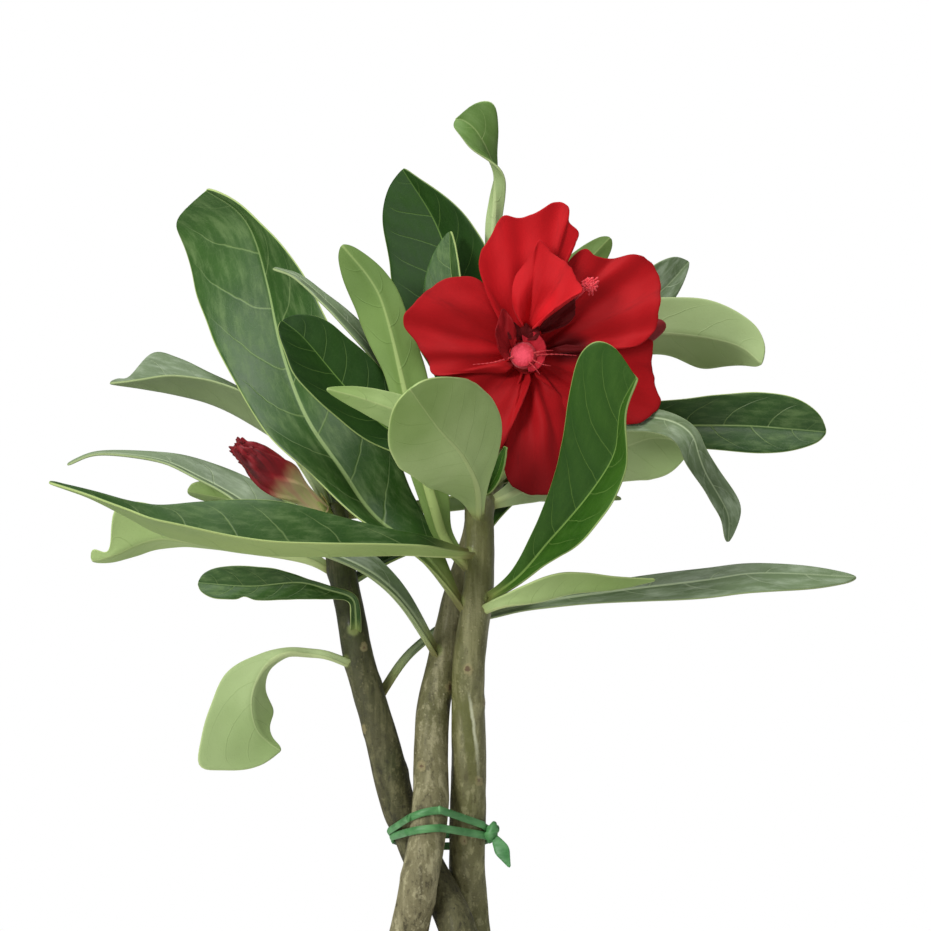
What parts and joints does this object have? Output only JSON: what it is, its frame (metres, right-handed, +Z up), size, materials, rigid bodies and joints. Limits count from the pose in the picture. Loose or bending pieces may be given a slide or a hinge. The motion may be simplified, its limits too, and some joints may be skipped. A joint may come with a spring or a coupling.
{
  "type": "potted desert rose adenium",
  "caption": "Desert rose with braided stems held by a tie, leathery dark green leaves, a red double flower and closed buds, in a plain tapered clay pot filled with soil.",
  "frame": {"origin": "centre of the pot's underside, on the surface that it stands on", "axes": "+Z up along the stems, -Y towards the side with the open flower, +X to the right as seen from that side"},
  "size_m": [0.2153, 0.1661, 0.5001],
  "materials": {
    "clay": "matte",
    "soil": "matte",
    "bark": "matte",
    "bark_green": "satin",
    "tie": "matte",
    "leaf_dark": "satin",
    "leaf_pale": "satin",
    "calyx": "matte",
    "petal": "matte",
    "petal_inner": "matte",
    "stamen": "matte",
    "bud": "matte"
  },
  "bodies": {
    "root": {"pot": "clay", "soil": "soil", "stem_left": "bark", "stem_middle": "bark", "stem_right": "bark_green", "plant_tie": "tie", "leaf_back_left": "leaf_dark", "leaf_back_lower_left": "leaf_dark", "leaf_back_lower_right": "leaf_dark", "leaf_back_middle": "leaf_dark", "leaf_back_right": "leaf_dark", "leaf_back_top": "leaf_dark", "leaf_broad_left": "leaf_dark", "leaf_dark_small": "leaf_dark", "leaf_dark_upright": "leaf_dark", "leaf_front_right": "leaf_dark", "leaf_front_round": "leaf_pale", "leaf_grey_left": "leaf_dark", "leaf_hooked": "leaf_pale", "leaf_left_arched": "leaf_dark", "leaf_left_forked": "leaf_dark", "leaf_left_long": "leaf_dark", "leaf_left_lower": "leaf_dark", "leaf_left_short": "leaf_dark", "leaf_left_upper": "leaf_dark", "leaf_middle_long": "leaf_dark", "leaf_middle_small": "leaf_dark", "leaf_pale_upright": "leaf_pale", "leaf_right_broad": "leaf_dark", "leaf_right_drooping": "leaf_dark", "leaf_right_folded": "leaf_dark", "leaf_right_grey": "leaf_dark", "leaf_right_long": "leaf_dark", "leaf_right_pale": "leaf_pale", "leaf_right_slim": "leaf_dark", "leaf_right_upper": "leaf_pale", "leaf_slim_left": "leaf_pale", "leaf_tall_left": "leaf_dark", "leaf_tip_small": "leaf_dark", "leaf_top_curled": "leaf_dark", "flower_calyx": "calyx", "flower_inner_petals": "petal_inner", "flower_petals": "petal", "flower_stamens": "stamen", "flower_tuft": "stamen", "bud_back": "bud", "bud_left": "bud", "bud_left_calyx": "calyx"}
  },
  "joints": []
}
